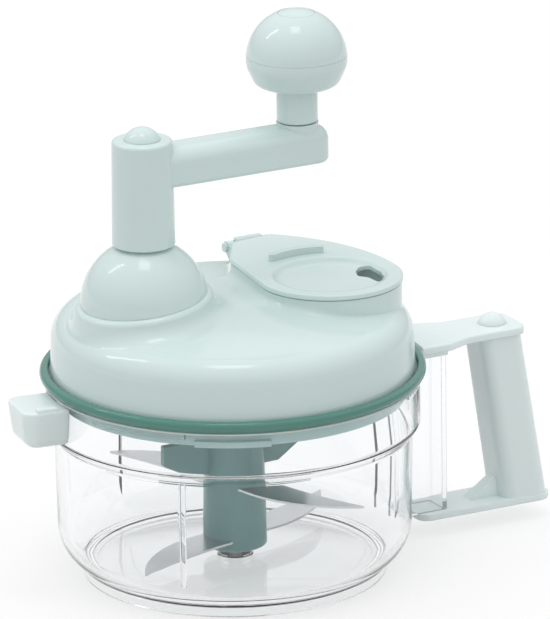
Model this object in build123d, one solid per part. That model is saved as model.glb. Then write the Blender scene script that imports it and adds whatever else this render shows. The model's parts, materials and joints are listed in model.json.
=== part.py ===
from build123d import *
from math import acos, atan2, cos, pi, radians, sin, tan
import os

os.makedirs("parts", exist_ok=True)

# A hand-cranked food chopper: a clear bowl with a side handle, a moulded lid with a gear
# housing and a covered feed chute, and blades driven through one pair of gears.
# Millimetres. The origin is on the bowl's axis at the table, +Z is up, +X points at the handle.

# ---------------------------------------------------------------- driving dimensions
# bowl
bowl_radius = 76.0            # outside, just below the step
bowl_draft = 1.0              # how much narrower the wall is at its foot
bowl_wall = 2.4
rim_step = 3.2                # how far the wall steps outwards under the rim
rim_height = 85.2
rim_band = 23.2               # height of the rim above the start of the step
step_rise = 4.0
foot_radius = 64.5
foot_flare = 0.4              # how much wider the foot is at its top
foot_height = 5.5
foot_wall = 2.6
floor_height = 4.0            # underside of the bowl's floor
underside_angle = 33.7        # slope at which the bowl leaves its foot
underside_curve = 20.0
inner_curve = 16.0
pivot_boss_radius = 7.0
pivot_boss_height = 4.0
pivot_socket_depth = 9.4
rib_count = 3
rib_width = 2.4
rib_depth = 1.6
rib_first_angle = 105.0

# bayonet between the bowl and the splash ring
lug_count = 3
lug_first_angle = 90.0
lug_arc = 34.0
lug_depth = 1.9
lug_height = 2.4
tab_arc = 24.0
tab_height = 2.6
tab_clearance = 0.4
tab_offset_angle = 32.0       # tabs start this far past the lugs and turn back under them

# green splash ring with its inner floor
ring_overhang = 3.0           # widest part of the ring, beyond the bowl's rim
ring_base_overhang = 0.8
ring_lip_overhang = 1.8
ring_height = 5.2
ring_widest_rise = 2.6
ring_channel_gap = 0.8        # between the lid's skirt and the ring's bead
ring_floor_thickness = 2.2
ring_floor_rise = 3.2         # top of the inner floor above the ring's underside
skirt_gap = 2.4               # between the bowl and the skirt that hangs into it
skirt_wall = 2.2
skirt_depth = 7.0
collar_radius = 12.6
collar_gap = 2.5              # between the collar and the top of the blade hub
seal_thickness = 0.8
seal_width = 3.0

# lid
lid_wall = 2.2
lid_skirt_inset = 1.9         # from the bowl's rim
lid_shoulder_inset = 2.9
lid_crown_rise = 34.9         # above the bowl's rim
lid_crown_drop = 6.3          # how much lower the crown is at the shoulder
lid_shoulder_curve = 11.0
lid_screw_inset = 17.2
lid_screw_length = 11.0
lid_screw_first_angle = 15.0
lid_screw_count = 3
screw_boss_radius = 3.6

# gear train
gear_module = 1.5
crank_teeth = 40
pinion_teeth = 15
pressure_angle = 20.0
gear_backlash = 0.2
gear_thickness = 7.0
gear_hub_radius = 9.0
gear_hub_rise = 5.0
hex_size = 8.0                # across the flats of the crank's shaft
spindle_size = 6.0            # across the flats of the blades' spindle
journal_radius = 4.0
running_clearance = 0.05
bush_wall = 2.0
bush_length = 9.0
pinion_journal_length = 6.0
flange_thickness = 1.3

# gear housing dome and the round plinth under it
dome_radius = 27.0
dome_wall = 2.6
dome_centre_drop = 2.1        # below the seam
dome_top_rise = 24.9          # above the dome's centre
seam_tilt = 7.3               # the seam falls towards the outside of the lid
seam_rise = 7.0               # above the lid's crown, on the crank's axis
plinth_radius = 34.3
plinth_edge = 2.4
plinth_taper = 0.16           # radius lost for each millimetre of height
spigot_clearance = 0.3

# crank
crank_length = 73.5           # crank axis to knob axis
post_radius = 12.8
post_draft = 0.5
post_height = 45.5
post_edge = 1.6
housing_gap = 0.4             # between the dome and the turning post
arm_width = 20.5
arm_end = 12.3                # beyond the knob's axis
arm_corner = 7.5
arm_height = 16.0
arm_low = 25.2                # underside of the arm above the post's foot
arm_top_rounding = 6.5
arm_bottom_rounding = 2.0
arm_boss_height = 1.4
cap_radius = 7.9
cap_rise = 5.4
cap_spigot_radius = 6.4
cap_depth = 6.3
crank_screw_length = 18.0

# knob
knob_radius = 21.4
knob_centre_rise = 27.1       # ball centre above the stem's foot
knob_flat_radius = 9.6
knob_seam_rise = 1.6          # seam above the ball's centre
knob_wall = 2.4
knob_foot_rise = 14.0         # underside of the ball above the stem's foot
stem_radius = 8.7
stem_spigot_radius = 6.0
knob_pin_radius = 3.0
knob_disc_radius = 7.85
knob_disc_thickness = 2.0

# feed chute and its cover
chute_x = 41.0
chute_y = -11.3
chute_bore_radius = 26.2
chute_wall = 2.0
tower_rise = 4.4              # above the lid's crown
cover_end_radius = 31.0
cover_side_angle = -5.0       # where the round end turns into the long outer side
cover_back_left = (27.0, 50.3)
cover_back_right = (46.4, 52.4)
cover_waist = (15.0, 30.0)
cover_overhang = 0.5
cover_gap = 0.3
cover_thickness = 2.2
cover_edge = 0.8
dish_radius = 24.6
dish_depth = 2.4
dish_wall = 1.7
drip_slot_radius = 18.9
drip_slot_width = 8.8
drip_slot_start = -29.0
drip_slot_arc = 40.0
finger_rib_radius = 31.5
finger_rib_width = 3.0
finger_rib_height = 2.8
finger_rib_start = 69.0
finger_rib_arc = 43.5
hinge_y = 55.0
hinge_drop = 1.2              # of the knuckles below the cover's face
hinge_left = 26.5
hinge_right = 46.5
hinge_ear = 3.5
hinge_knuckle_radius = 2.6
hinge_pin_radius = 1.2
hinge_gap = 0.3

# blade unit
hub_radius = 12.5
hub_flare = 1.2
hub_drop = 13.5               # top of the hub below the bowl's rim
hub_gap = 0.3
wing_length = 34.0
wing_height = 15.0
wing_thickness = 3.2
wing_drop = 27.7              # below the top of the hub
blade_length = 65.0
blade_width = 17.0
blade_thickness = 1.0
blade_edge_width = 4.0
lower_blade_height = 15.0
upper_blade_drop = 5.5        # below the wings
pivot_pin_radius = 3.0
pivot_pin_length = 13.0

# handle, on +X
# (reaches are measured outwards from the bowl's rim, rises upwards from it)
flange_reach = 20.2           # clear rib that carries the handle
flange_half_width = 8.0
flange_wall = 2.0
flange_drop = 0.3
handle_inner_reach = 5.2
handle_rise = 3.4
handle_plate_thickness = 3.3
handle_block_drop = 1.7
handle_block_wall = 2.9
handle_wide_half = 16.5
handle_wide_reach = 17.3
handle_half_width = 12.0
handle_flare_reach = 27.8
handle_outer_reach = 57.9
handle_corner = 5.5
handle_screw_length = 22.0
grip_top_reach = 46.7
grip_base_reach = 58.7
grip_size = 20.6
grip_growth = 0.8             # how much wider the grip is at its base
grip_rounding = 5.5
foot_plate_low = 8.0
foot_plate_thickness = 3.0
foot_plate_inner_reach = 5.3
foot_plate_outer_reach = 70.0
foot_plate_half_width = 11.6
foot_plate_rounding = 5.5
gusset_length = 15.5
gusset_height = 9.0
gusset_thickness = 6.0
button_radius = 6.3
button_rise = 4.6

# side tab, nearly opposite the handle
tab_angle = 173.2
tab_length = 18.8             # beyond the bowl's rim
tab_half_width = 13.4
tab_drop = 0.7
tab_thickness = 16.8
tab_draft = 6.0
tab_corner = 5.8
tab_curve = 5.5
tab_ridge_width = 3.4
tab_ridge_height = 1.6
lug_plate_length = 12.8
lug_plate_inset = 4.7         # narrower than the tab, on each side

# fasteners
screw_radius = 1.5
screw_head_radius = 2.8
screw_head_height = 1.8
clip_thickness = 0.8

# ---------------------------------------------------------------- sizes that follow
floor_top = floor_height + bowl_wall
bowl_inside = bowl_radius - bowl_wall
rim_radius = bowl_radius + rim_step
step_height = rim_height - rim_band
rim_inside = rim_radius - bowl_wall
pivot_boss_top = floor_top + pivot_boss_height
seal_top = rim_height + seal_thickness
ring_floor_top = seal_top + ring_floor_rise
ring_floor_low = ring_floor_top - ring_floor_thickness
skirt_low = seal_top - skirt_depth
skirt_radius = rim_inside - skirt_gap
ring_radius = rim_radius + ring_overhang
ring_base_radius = rim_radius + ring_base_overhang
ring_lip_radius = rim_radius + ring_lip_overhang
lid_skirt_radius = rim_radius - lid_skirt_inset
lid_shoulder_radius = rim_radius - lid_shoulder_inset
lid_screw_circle = rim_radius - lid_screw_inset
lid_crown_height = rim_height + lid_crown_rise
tower_height = lid_crown_height + tower_rise
seam_height = lid_crown_height + seam_rise
dome_centre_height = seam_height - dome_centre_drop
dome_top_height = dome_centre_height + dome_top_rise
lug_low = skirt_low + tab_height + tab_clearance
crank_x = -gear_module * (crank_teeth + pinion_teeth) / 2
bush_radius = journal_radius + bush_wall
lower_bush_top = ring_floor_top + flange_thickness
gear_low = lower_bush_top + hub_gap + flange_thickness
gear_top = gear_low + gear_thickness
hub_bottom = pivot_boss_top + hub_gap
hub_top_height = rim_height - hub_drop
wing_low = hub_top_height - wing_drop
upper_blade_height = wing_low - upper_blade_drop
post_low = dome_top_height + housing_gap
post_top = post_low + post_height
arm_underside = post_low + arm_low
arm_top = arm_underside + arm_height
arm_boss_top = arm_top + arm_boss_height
shaft_top = post_top - cap_depth - 3.0
knob_x = crank_x + crank_length
stem_low = arm_boss_top + hub_gap
knob_low = stem_low + knob_foot_rise
knob_centre = stem_low + knob_centre_rise
knob_seam = knob_centre + knob_seam_rise
cover_low = tower_height + cover_gap
cover_top = cover_low + cover_thickness
hinge_z = cover_top - hinge_knuckle_radius - hinge_drop
foot_plate_top = foot_plate_low + foot_plate_thickness
flange_end = rim_radius + flange_reach
flange_top = rim_height - flange_drop
handle_inner = rim_radius + handle_inner_reach
handle_wide_end = rim_radius + handle_wide_reach
handle_flare_end = rim_radius + handle_flare_reach
handle_outer = rim_radius + handle_outer_reach
handle_top = rim_height + handle_rise
handle_plate_low = handle_top - handle_plate_thickness
grip_top_x = rim_radius + grip_top_reach
grip_base_x = rim_radius + grip_base_reach
foot_plate_inner = rim_radius + foot_plate_inner_reach
foot_plate_outer = rim_radius + foot_plate_outer_reach
tab_top = rim_height - tab_drop
tab_low = tab_top - tab_thickness
tab_reach = rim_radius + tab_length
lug_plate_reach = rim_radius + lug_plate_length
lug_plate_half = tab_half_width - lug_plate_inset
cutter = 400.0                # large enough to cut anything here


# ---------------------------------------------------------------- shared shapes
def turned(*corners, arc=360):
    """Revolve a closed outline given as (radius, height, corner rounding)."""
    outline = FilletPolyline(
        *[(radius, height) for radius, height, _ in corners],
        radius=[rounding for _, _, rounding in corners],
        close=True,
    )
    return revolve(make_face(Plane.XZ * outline), Axis.Z, arc)


def disc(radius, low, high, x=0, y=0):
    return Pos(x, y, low) * Cylinder(radius, high - low, align=(Align.CENTER, Align.CENTER, Align.MIN))


def sleeve(outer, inner, low, high, x=0, y=0):
    return disc(outer, low, high, x, y) - disc(inner, low - 1, high + 1, x, y)


def block(x_from, x_to, half_width, low, high):
    size = (x_to - x_from, 2 * half_width, high - low)
    return Pos(x_from, 0, low) * Box(*size, align=(Align.MIN, Align.CENTER, Align.MIN))


def hex_bar(size, low, high, x=0):
    section = RegularPolygon(size / 2, 6, major_radius=False)
    return Pos(x, 0, low) * extrude(section, high - low)


def around(count, first_angle, shape):
    """Copies of one shape, evenly spaced about the bowl's axis."""
    return [Rot(0, 0, first_angle + 360 * turn / count) * shape for turn in range(count)]


def ring_segment(inner, outer, low, high, arc):
    """Part of a flat ring, centred on the +X direction."""
    corners = ((inner, low, 0), (outer, low, 0), (outer, high, 0), (inner, high, 0))
    return Rot(0, 0, -arc / 2) * turned(*corners, arc=arc)


def pan_screw(length):
    """A pan-head screw standing head down on z = 0, with its shank along +Z."""
    head = turned((0, 0, 0), (screw_head_radius, 0, 0.8), (screw_head_radius, screw_head_height, 0),
                  (0, screw_head_height, 0))
    slot = Box(screw_head_radius * 1.1, 0.8, 1.6)
    return head + disc(screw_radius, screw_head_height, length) - slot - Rot(0, 0, 90) * slot


def save(shape, name):
    shape.label = name
    export_step(shape, "parts/" + name + ".step")


def save_group(shapes, name):
    save(Compound(children=[s.solid() for s in shapes]), name)


# ---------------------------------------------------------------- bowl
def bowl_outside():
    foot_top_radius = foot_radius + foot_flare
    wall_radius = bowl_radius - bowl_draft
    slope = radians(underside_angle)
    corner_height = foot_height + (wall_radius - foot_top_radius) * tan(slope)
    tangent = (wall_radius - foot_top_radius) / cos(slope)
    curve = min(underside_curve, 0.95 * tangent / tan((pi / 2 - slope) / 2))
    return turned(
        (0, floor_height, 0), (foot_radius - foot_wall, floor_height, 0.8),
        (foot_radius - foot_wall, 0, 0.6), (foot_radius, 0, 0.6), (foot_top_radius, foot_height, 0),
        (wall_radius, corner_height, curve), (bowl_radius, step_height, 1.5),
        (rim_radius, step_height + step_rise, 1.5), (rim_radius, rim_height, 0.6), (0, rim_height, 0))


def bowl_hollow():
    step_top = step_height + step_rise
    above = rim_height + 1
    return turned(
        (0, floor_top, 0), (bowl_inside - bowl_draft, floor_top, inner_curve),
        (bowl_inside, step_height + 1, 1.5), (rim_inside, step_top + 1, 1.5), (rim_inside, above, 0),
        (0, above, 0))


def handle_flange():
    """Hollow upright rib on the bowl that the handle clips over."""
    outer = block(bowl_inside, flange_end, flange_half_width, foot_plate_top, flange_top)
    outer = fillet(outer.edges().filter_by(Axis.Z).group_by(Axis.X)[-1], 1.2)
    inner = block(0, flange_end - flange_wall, flange_half_width - flange_wall,
                  foot_plate_top - 1, flange_top + 1)
    return outer - inner


def tab_lug():
    """Clear block on the bowl, hidden inside the side tab."""
    lug = block(bowl_inside, lug_plate_reach, lug_plate_half, tab_low + 3.4, tab_top - 2.5)
    return Rot(0, 0, tab_angle) * lug


def bowl():
    body = bowl_outside() - bowl_hollow()
    rib = block(bowl_inside - rib_depth, bowl_inside + 1, rib_width / 2, floor_top + 1, step_height)
    toe = block(bowl_inside - inner_curve / 2, bowl_inside, rib_width / 2, floor_top - 0.5,
                floor_top + inner_curve / 2)
    inside = bowl_outside()
    for upright in around(rib_count, rib_first_angle, rib + toe):
        body += upright & inside
    lug = ring_segment(rim_inside - lug_depth, rim_inside + 1, lug_low, lug_low + lug_height, lug_arc)
    for one in around(lug_count, lug_first_angle, lug):
        body += one
    body += handle_flange() - bowl_outside()
    body += tab_lug() - bowl_outside()
    body += disc(pivot_boss_radius, floor_height, pivot_boss_top)
    return body - disc(pivot_pin_radius, floor_height + 1, rim_height)


def bowl_pivot_pin():
    low = floor_height + 1
    high = pivot_boss_top + pivot_pin_length
    return turned((0, low, 0), (pivot_pin_radius, low, 0), (pivot_pin_radius, high, 1.4), (0, high, 0))


def rim_seal():
    inner = ring_base_radius - seal_width
    return turned((inner, rim_height, 0), (ring_base_radius, rim_height, 0.25),
                  (ring_base_radius, seal_top, 0.25), (inner, seal_top, 0))


# ---------------------------------------------------------------- handle and side tab
def handle_grip():
    base = Pos(grip_base_x, 0, foot_plate_top - 1) * RectangleRounded(
        grip_size + grip_growth, grip_size + grip_growth, grip_rounding)
    top = Pos(grip_top_x, 0, handle_plate_low) * RectangleRounded(grip_size, grip_size, grip_rounding)
    column = loft([base, top])
    length = foot_plate_outer - foot_plate_inner
    plan = RectangleRounded(length, 2 * foot_plate_half_width, foot_plate_rounding)
    plate = Pos(foot_plate_inner + length / 2, 0, foot_plate_low) * extrude(plan, foot_plate_thickness)
    plate = fillet(plate.edges().group_by(Axis.Z)[0], 1.0)
    heel = grip_base_x - grip_size / 2
    gusset = make_face(Plane.XZ * Polyline(
        (heel - gusset_length, foot_plate_top - 0.5), (heel + 3, foot_plate_top - 0.5),
        (heel + 3, foot_plate_top + gusset_height), (heel - 1.5, foot_plate_top + gusset_height),
        close=True))
    screw_hole = disc(screw_radius, handle_plate_low - handle_screw_length, handle_plate_low + 1, grip_top_x)
    return column + plate + extrude(gusset, gusset_thickness / 2, both=True) - screw_hole


def handle_top_plate():
    inner = handle_inner - 8
    side = ((inner, handle_wide_half, 1), (handle_wide_end, handle_wide_half, 5),
            (handle_flare_end, handle_half_width, 12), (handle_outer, handle_half_width, handle_corner))
    corners = [(x, -y, r) for x, y, r in side] + list(reversed(side))
    outline = make_face(FilletPolyline(*[(x, y) for x, y, _ in corners],
                                       radius=[r for *_, r in corners], close=True))
    plate = Pos(0, 0, handle_plate_low) * extrude(outline, handle_plate_thickness)
    plate = fillet(plate.edges().group_by(Axis.Z)[-1], 0.9)
    collar = block(inner, flange_end + 0.3 + handle_block_wall, flange_half_width + 2.6,
                   handle_plate_low - handle_block_drop, handle_plate_low + 1)
    collar = fillet(collar.edges().filter_by(Axis.Z).group_by(Axis.X)[-1], 3.0)
    wings = block(inner, handle_wide_end, handle_wide_half - 0.4,
                  handle_plate_low - handle_block_drop, handle_plate_low + 1)
    wings = fillet(wings.edges().filter_by(Axis.Z).group_by(Axis.X)[-1], 3.0)
    pocket = block(inner, flange_end + 0.3, flange_half_width + 0.3,
                   handle_plate_low - handle_block_drop - 1, handle_plate_low)
    plate = plate + collar + wings - pocket - disc(handle_inner, 0, cutter)
    head_seat = disc(button_radius - 0.8, handle_top - 2.2, handle_top + 1, grip_top_x)
    return plate - head_seat - disc(screw_radius + 0.2, 0, cutter, grip_top_x)


def handle_screw():
    return Pos(grip_top_x, 0, handle_top - 0.4) * (Rot(180, 0, 0) * pan_screw(handle_screw_length))


def handle_button():
    """Domed plug over the handle's screw."""
    radius = (button_radius ** 2 + button_rise ** 2) / (2 * button_rise)
    dome = Pos(0, 0, handle_top + button_rise - radius) * Sphere(radius)
    return Pos(grip_top_x, 0, 0) * (dome & disc(button_radius, handle_top, cutter))


def tab_cap():
    root = rim_radius - 8

    def plan(height):
        inset = (tab_top - height) * tan(radians(tab_draft))
        half = tab_half_width - inset
        rectangle = Pos((root + tab_reach - inset) / 2, 0, height) * Rectangle(tab_reach - inset - root, 2 * half)
        return fillet(rectangle.vertices().group_by(Axis.X)[-1], tab_corner)

    def outer(edge):
        return edge.center().X > root + 1

    shell = loft([make_face(plan(tab_low)), make_face(plan(tab_top))])
    shell = fillet(shell.edges().group_by(Axis.Z)[0].filter_by(outer), tab_curve)
    shell = fillet(shell.edges().group_by(Axis.Z)[-1].filter_by(outer), 0.9)
    ridge = Pos(0, tab_half_width - 0.6 - tab_ridge_width / 2, 0) * block(
        rim_radius + 4, tab_reach - tab_corner, tab_ridge_width / 2, tab_top - 1, tab_top + tab_ridge_height)
    ridge = fillet(ridge.edges().group_by(Axis.Z)[-1], 0.7)
    pocket = block(root - 1, lug_plate_reach + 0.3, lug_plate_half + 0.3, tab_low + 3.1, tab_top - 2.2)
    shell = shell + ridge - pocket - disc(rim_radius + 0.3, 0, cutter)
    return Rot(0, 0, tab_angle) * shell


# ---------------------------------------------------------------- splash ring
def inner_lid():
    lip_top = seal_top + ring_height
    channel = lid_skirt_radius + ring_channel_gap
    skirt_inside = skirt_radius - skirt_wall
    ring = turned(
        (skirt_inside, skirt_low, 0), (skirt_radius, skirt_low, 0.5), (skirt_radius, seal_top, 0.5),
        (ring_base_radius, seal_top, 1.0), (ring_radius, seal_top + ring_widest_rise, 2.1),
        (ring_lip_radius, lip_top - 0.3, 1.6), (channel, lip_top, 0.7), (channel, ring_floor_top, 0.3),
        (0, ring_floor_top, 0), (0, ring_floor_low, 0), (skirt_inside, ring_floor_low, 1.0))
    locator = lid_skirt_radius - lid_wall - 0.4
    ring += sleeve(locator, locator - 1.8, ring_floor_low, ring_floor_top + 2.4)
    ring -= disc(chute_bore_radius + chute_wall + 0.4, 0, cutter, chute_x, chute_y)
    ring += disc(collar_radius, hub_top_height + collar_gap, ring_floor_top)
    ring += disc(bush_radius + 2, ring_floor_low - 2, ring_floor_top, crank_x)
    ring -= disc(bush_radius + 2, 0, ring_floor_low - bush_length + 4)
    ring -= disc(bush_radius + 1, 0, cutter)
    ring -= disc(bush_radius, ring_floor_low - 1, cutter, crank_x)
    tab = ring_segment(skirt_radius - 1, rim_inside - tab_clearance, skirt_low, skirt_low + tab_height, tab_arc)
    for one in around(lug_count, lug_first_angle + tab_offset_angle, tab):
        ring += one
    for hole in around(lid_screw_count, lid_screw_first_angle,
                       disc(screw_radius + 0.2, 0, cutter, lid_screw_circle)):
        ring -= hole
    return ring


# ---------------------------------------------------------------- lid
def lid_dome(inset):
    """Solid of the lid's turned form, with every face moved in by the inset."""
    low = ring_floor_top - (1 if inset else 0)
    radius = lid_shoulder_radius - inset
    top = lid_crown_height - inset
    shoulder_height = top - lid_crown_drop
    crown = ThreePointArc((0, top), (radius / 2, top - lid_crown_drop / 4), (radius, shoulder_height))
    sides = Polyline((radius, shoulder_height), (lid_skirt_radius - inset, low), (0, low), (0, top))
    profile = make_face([crown.edge(), *sides.edges()])
    corner = profile.vertices().filter_by(
        lambda v: abs(v.X - radius) < 0.01 and abs(v.Y - shoulder_height) < 0.01)
    profile = fillet(corner, lid_shoulder_curve - inset)
    return revolve(Plane.XZ * profile, Axis.Z)


def below_seam(drop):
    """Everything under the tilted seam between the lid and the gear housing."""
    slab = Pos(0, 0, -cutter / 2) * Box(cutter, cutter, cutter)
    return Pos(crank_x, 0, seam_height - drop) * (Rot(0, -seam_tilt, 0) * slab)


def plinth(inset, drop):
    low = ring_floor_top + 4
    height = seam_height + plinth_radius * tan(radians(seam_tilt)) + 1 - low
    radius = plinth_radius - inset
    cone = Cone(radius, radius - plinth_taper * height, height,
                align=(Align.CENTER, Align.CENTER, Align.MIN))
    cone = (Pos(crank_x, 0, low) * cone) & below_seam(drop)
    return cone if inset else fillet(cone.edges().sort_by(Axis.Z)[-1:], plinth_edge)


def chute_outline(inset):
    """Plan of the feed chute's cover: a round end that widens along the lid's rim."""
    centre = Vector(chute_x, chute_y)
    waist = Vector(*cover_waist)
    to_waist = waist - centre
    lean = acos(cover_end_radius / to_waist.length)
    left = atan2(to_waist.Y, to_waist.X) + lean
    right = radians(cover_side_angle)

    def on_end(angle):
        return centre + Vector(cos(angle), sin(angle)) * cover_end_radius

    join = on_end(right)
    corner = Vector(*cover_back_right)
    lowest = on_end((left + right) / 2 - pi)
    edges = [
        ThreePointArc(on_end(left), lowest, join).edge(),
        TangentArc(join, corner, tangent=(-sin(right), cos(right))).edge(),
        *Polyline(corner, Vector(*cover_back_left), waist, on_end(left)).edges(),
    ]
    face = make_face(edges)
    rear = face.vertices().filter_by(lambda v: v.Y > waist.Y - 1)
    face = fillet(rear, 3.0)
    return offset(face, amount=-inset) if inset else face


def chute_tower(inset, top):
    low = lid_crown_height - 14
    return Pos(0, 0, low) * extrude(chute_outline(cover_overhang + inset), top - low)


def hinge_ears():
    ears = None
    wall_y = cover_back_left[1] - cover_overhang
    for start in (hinge_left, hinge_right - hinge_ear):
        bracket = make_face(Plane.YZ * Polyline(
            (wall_y, tower_height - 9), (wall_y, tower_height), (hinge_y, tower_height),
            (hinge_y, hinge_z - hinge_knuckle_radius), close=True))
        ear = Pos(start, 0, 0) * extrude(bracket, hinge_ear, dir=(1, 0, 0))
        knuckle = Pos(start + hinge_ear / 2, hinge_y, hinge_z) * (
            Rot(0, 90, 0) * Cylinder(hinge_knuckle_radius, hinge_ear))
        ears = ear + knuckle if ears is None else ears + ear + knuckle
    return ears


def hinge_bore(radius):
    middle = (hinge_left + hinge_right) / 2
    length = hinge_right - hinge_left + 4
    return Pos(middle, hinge_y, hinge_z) * (Rot(0, 90, 0) * Cylinder(radius, length))


def lid_shell():
    outside = lid_dome(0) + plinth(0, 0) + chute_tower(0, tower_height)
    shell = outside - lid_dome(lid_wall) - plinth(lid_wall, lid_wall) - chute_tower(
        lid_wall, tower_height - lid_wall)
    boss = disc(screw_boss_radius, ring_floor_top, tower_height, lid_screw_circle)
    for one in around(lid_screw_count, lid_screw_first_angle, boss):
        shell += one & outside
    shell += disc(chute_bore_radius + chute_wall, ring_floor_low - 2, tower_height, chute_x, chute_y)
    pinion_boss = disc(journal_radius + 3, gear_top + hub_gap * 3, lid_crown_height - 1)
    shell += pinion_boss
    shell += hinge_ears()
    shell -= disc(chute_bore_radius, 0, cutter, chute_x, chute_y)
    shell -= disc(journal_radius + running_clearance, 0, gear_top + pinion_journal_length + 0.5)
    shell -= disc(dome_radius - dome_wall + 0.2 + spigot_clearance, ring_floor_top, dome_top_height, crank_x)
    shell -= hinge_bore(hinge_pin_radius)
    for hole in around(lid_screw_count, lid_screw_first_angle,
                       disc(screw_radius, 0, ring_floor_low + lid_screw_length, lid_screw_circle)):
        shell -= hole
    return shell


def gear_dome():
    inner = dome_radius - dome_wall

    def form(radius, top):
        low = seam_height - 14
        full = Pos(0, 0, dome_centre_height) * Sphere(radius) + disc(radius, low, dome_centre_height)
        return Pos(crank_x, 0, 0) * (full & disc(radius + 1, low, top))

    shell = form(dome_radius, dome_top_height) - form(inner, dome_top_height - dome_wall)
    shell = shell - below_seam(0)
    spigot = sleeve(inner + 0.2, inner - 1.6, seam_height - 6, seam_height + 4, crank_x)
    boss = disc(bush_radius + 2.2, dome_top_height - bush_length - 3, dome_top_height, crank_x)
    return shell + spigot + boss - disc(bush_radius, 0, cutter, crank_x)


def lid_screws():
    screw = Pos(lid_screw_circle, 0, ring_floor_low - screw_head_height) * pan_screw(
        screw_head_height + lid_screw_length - 0.5)
    return around(lid_screw_count, lid_screw_first_angle, screw)


# ---------------------------------------------------------------- gear train
def gear(teeth, low, high, x, first_angle=0):
    """Spur gear with involute flanks, each drawn through a few points of the curve."""
    pressure = radians(pressure_angle)
    pitch_radius = gear_module * teeth / 2
    base_radius = pitch_radius * cos(pressure)
    tip_radius = pitch_radius + gear_module
    root_radius = pitch_radius - 1.25 * gear_module
    flank_start = max(base_radius, root_radius)
    half_tooth = pi / (2 * teeth) - gear_backlash / (4 * pitch_radius) + tan(pressure) - pressure

    def half_angle(radius):
        slope = acos(min(1.0, base_radius / radius))
        return half_tooth - tan(slope) + slope

    flank = [root_radius] if root_radius < base_radius else []
    flank += [flank_start + (tip_radius - flank_start) * step / 3 for step in range(4)]
    points = []
    for tooth in range(teeth):
        middle = radians(first_angle) + 2 * pi * tooth / teeth
        rising = [(r, middle - half_angle(max(r, flank_start))) for r in flank]
        falling = [(r, middle + half_angle(max(r, flank_start))) for r in reversed(flank)]
        points += [(r * cos(a), r * sin(a)) for r, a in rising + falling]
    return Pos(x, 0, low) * extrude(make_face(Polyline(*points, close=True)), high - low)


def drive_gear():
    wheel = gear(crank_teeth, gear_low, gear_top, crank_x)
    web_radius = gear_module * crank_teeth / 2 - 6
    recess = sleeve(web_radius, gear_hub_radius, gear_top - 2, gear_top + 1, crank_x)
    under = sleeve(web_radius, gear_hub_radius, gear_low - 1, gear_low + 2, crank_x)
    hub = disc(gear_hub_radius, gear_low - flange_thickness, gear_top + gear_hub_rise, crank_x)
    return wheel - recess - under + hub - hex_bar(hex_size, 0, cutter, crank_x)


def pinion_gear():
    wheel = gear(pinion_teeth, gear_low, gear_top, 0)
    journal = disc(journal_radius, gear_top, gear_top + pinion_journal_length)
    shank = disc(bush_radius - 0.5, ring_floor_low - bush_length + 4, gear_low)
    return wheel + journal + shank - hex_bar(spindle_size, 0, gear_top - 1)


def pinion_bush():
    low = ring_floor_low - bush_length + 4
    bush = disc(bush_radius + 1, low, ring_floor_top)
    bush += disc(bush_radius + 2.4, ring_floor_top, ring_floor_top + flange_thickness)
    return bush - disc(bush_radius - 0.5 + running_clearance, 0, cutter)


def shaft_bush_lower():
    bush = disc(bush_radius, ring_floor_low - 1, ring_floor_top, crank_x)
    bush += disc(bush_radius + 1.5, ring_floor_top, lower_bush_top, crank_x)
    return bush - disc(journal_radius + running_clearance, 0, cutter, crank_x)


def shaft_bush_upper():
    low = dome_top_height - bush_length - 3
    bush = disc(bush_radius, low, dome_top_height, crank_x)
    return bush - disc(journal_radius + running_clearance, 0, cutter, crank_x)


def crank_shaft():
    """Hexagonal steel bar, turned down to round journals in its two bushes."""
    low = ring_floor_low - 0.6
    bar = hex_bar(hex_size, low, shaft_top, crank_x)
    journals = disc(journal_radius, low, lower_bush_top + hub_gap, crank_x)
    journals += disc(journal_radius, dome_top_height - bush_length - 5, post_low, crank_x)
    turned_away = disc(hex_size, low, lower_bush_top + hub_gap, crank_x)
    turned_away += disc(hex_size, dome_top_height - bush_length - 5, post_low, crank_x)
    return bar - turned_away + journals - disc(screw_radius, shaft_top - 14, cutter, crank_x)


def shaft_clip():
    """Ring on the crank's shaft that stops it from pulling out of the housing."""
    high = dome_top_height - bush_length - 3 - hub_gap
    return sleeve(journal_radius + 3.2, journal_radius, high - clip_thickness, high, crank_x)


# ---------------------------------------------------------------- crank
def crank_arm():
    post = turned(
        (0, post_low, 0), (post_radius + post_draft, post_low, 0.6), (post_radius, post_top, post_edge),
        (0, post_top, 0))
    end = arm_width / 2
    tip = crank_length + arm_end
    plan = FilletPolyline((0, -end), (tip, -end), (tip, end), (0, end),
                          radius=[0, arm_corner, arm_corner, 0], close=True)
    bar = extrude(make_face(plan), arm_height)
    bar = fillet(bar.edges().group_by(Axis.Z)[-1].filter_by(lambda e: e.center().X > 1), arm_top_rounding)
    bar = fillet(bar.edges().group_by(Axis.Z)[0].filter_by(lambda e: e.center().X > 1), arm_bottom_rounding)
    boss = disc(stem_radius + 0.2, arm_top - 3, arm_boss_top, crank_length)
    arm = post + Pos(0, 0, arm_underside) * bar + boss
    arm -= disc(cap_spigot_radius, post_top - cap_depth, cutter)
    arm -= hex_bar(hex_size, 0, shaft_top)
    arm -= disc(screw_radius + 0.2, 0, cutter)
    arm -= disc(knob_pin_radius, arm_underside + 3, cutter, crank_length)
    return Pos(crank_x, 0, 0) * arm


def crank_screw():
    seat = post_top - cap_depth + clip_thickness
    return Pos(crank_x, 0, seat + screw_head_height) * (Rot(180, 0, 0) * pan_screw(crank_screw_length))


def crank_washer():
    seat = post_top - cap_depth
    return sleeve(cap_spigot_radius - 0.6, screw_radius + 0.1, seat, seat + clip_thickness, crank_x)


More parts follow.
